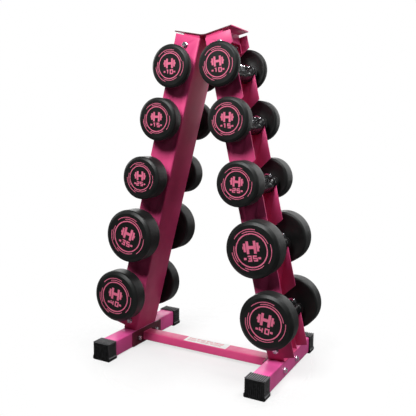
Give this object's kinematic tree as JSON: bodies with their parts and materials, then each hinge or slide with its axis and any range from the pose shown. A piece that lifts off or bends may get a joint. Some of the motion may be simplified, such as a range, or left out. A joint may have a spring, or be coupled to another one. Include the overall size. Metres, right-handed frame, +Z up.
{
  "type": "dumbbell rack",
  "caption": "A-frame dumbbell rack of folded steel on a two-foot base, with round-head dumbbells cradled across both leaning uprights.",
  "frame": {"origin": "on the floor, in the middle of the base", "axes": "+Z up, +X to the right upright as seen from the front, front of the rack towards -Y"},
  "size_m": [0.651, 0.416, 0.9855],
  "materials": {
    "powder_coat": "satin pink powder coat with a fine texture",
    "saddle_plastic": "moulded matte black plastic",
    "cap_plastic": "ribbed matte black plastic",
    "coated_iron": "black rubber skin over a cast iron core, with pink printed rings",
    "chrome": "polished chrome, knurled in the middle",
    "zinc": "bright zinc plate"
  },
  "bodies": {
    "rack": {"foot_left": "powder_coat", "foot_right": "powder_coat", "crossbar": "powder_coat", "upright_left": "powder_coat", "upright_right": "powder_coat", "top_bracket": "powder_coat", "end_cap_front_left": "cap_plastic", "end_cap_back_left": "cap_plastic", "end_cap_front_right": "cap_plastic", "end_cap_back_right": "cap_plastic", "saddle_10_left": "saddle_plastic", "saddle_15_left": "saddle_plastic", "saddle_25_left": "saddle_plastic", "saddle_35_left": "saddle_plastic", "saddle_40_left": "saddle_plastic", "saddle_10_right": "saddle_plastic", "saddle_15_right": "saddle_plastic", "saddle_25_right": "saddle_plastic", "saddle_35_right": "saddle_plastic", "saddle_40_right": "saddle_plastic", "base_bolt_front_left": "zinc", "base_bolt_back_left": "zinc", "top_bolt_front_left": "zinc", "top_bolt_back_left": "zinc", "foot_bolt_left": "zinc", "base_bolt_front_right": "zinc", "base_bolt_back_right": "zinc", "top_bolt_front_right": "zinc", "top_bolt_back_right": "zinc", "foot_bolt_right": "zinc"},
    "dumbbell_10_left": {"handle_10_left": "chrome", "head_front_10_left": "coated_iron", "head_back_10_left": "coated_iron"},
    "dumbbell_15_left": {"handle_15_left": "chrome", "head_front_15_left": "coated_iron", "head_back_15_left": "coated_iron"},
    "dumbbell_25_left": {"handle_25_left": "chrome", "head_front_25_left": "coated_iron", "head_back_25_left": "coated_iron"},
    "dumbbell_35_left": {"handle_35_left": "chrome", "head_front_35_left": "coated_iron", "head_back_35_left": "coated_iron"},
    "dumbbell_40_left": {"handle_40_left": "chrome", "head_front_40_left": "coated_iron", "head_back_40_left": "coated_iron"},
    "dumbbell_10_right": {"handle_10_right": "chrome", "head_front_10_right": "coated_iron", "head_back_10_right": "coated_iron"},
    "dumbbell_15_right": {"handle_15_right": "chrome", "head_front_15_right": "coated_iron", "head_back_15_right": "coated_iron"},
    "dumbbell_25_right": {"handle_25_right": "chrome", "head_front_25_right": "coated_iron", "head_back_25_right": "coated_iron"},
    "dumbbell_35_right": {"handle_35_right": "chrome", "head_front_35_right": "coated_iron", "head_back_35_right": "coated_iron"},
    "dumbbell_40_right": {"handle_40_right": "chrome", "head_front_40_right": "coated_iron", "head_back_40_right": "coated_iron"}
  },
  "joints": [
    {"name": "lift_10_left", "type": "slide", "parent": "rack", "child": "dumbbell_10_left", "axis": [-0.4226, 0, 0.9063], "range_m": [0, 0.04]},
    {"name": "lift_15_left", "type": "slide", "parent": "rack", "child": "dumbbell_15_left", "axis": [-0.4226, 0, 0.9063], "range_m": [0, 0.04]},
    {"name": "lift_25_left", "type": "slide", "parent": "rack", "child": "dumbbell_25_left", "axis": [-0.4226, 0, 0.9063], "range_m": [0, 0.04]},
    {"name": "lift_35_left", "type": "slide", "parent": "rack", "child": "dumbbell_35_left", "axis": [-0.4226, 0, 0.9063], "range_m": [0, 0.04]},
    {"name": "lift_40_left", "type": "slide", "parent": "rack", "child": "dumbbell_40_left", "axis": [-0.4226, 0, 0.9063], "range_m": [0, 0.04]},
    {"name": "lift_10_right", "type": "slide", "parent": "rack", "child": "dumbbell_10_right", "axis": [0.4226, 0, 0.9063], "range_m": [0, 0.04]},
    {"name": "lift_15_right", "type": "slide", "parent": "rack", "child": "dumbbell_15_right", "axis": [0.4226, 0, 0.9063], "range_m": [0, 0.04]},
    {"name": "lift_25_right", "type": "slide", "parent": "rack", "child": "dumbbell_25_right", "axis": [0.4226, 0, 0.9063], "range_m": [0, 0.04]},
    {"name": "lift_35_right", "type": "slide", "parent": "rack", "child": "dumbbell_35_right", "axis": [0.4226, 0, 0.9063], "range_m": [0, 0.04]},
    {"name": "lift_40_right", "type": "slide", "parent": "rack", "child": "dumbbell_40_right", "axis": [0.4226, 0, 0.9063], "range_m": [0, 0.04]}
  ]
}
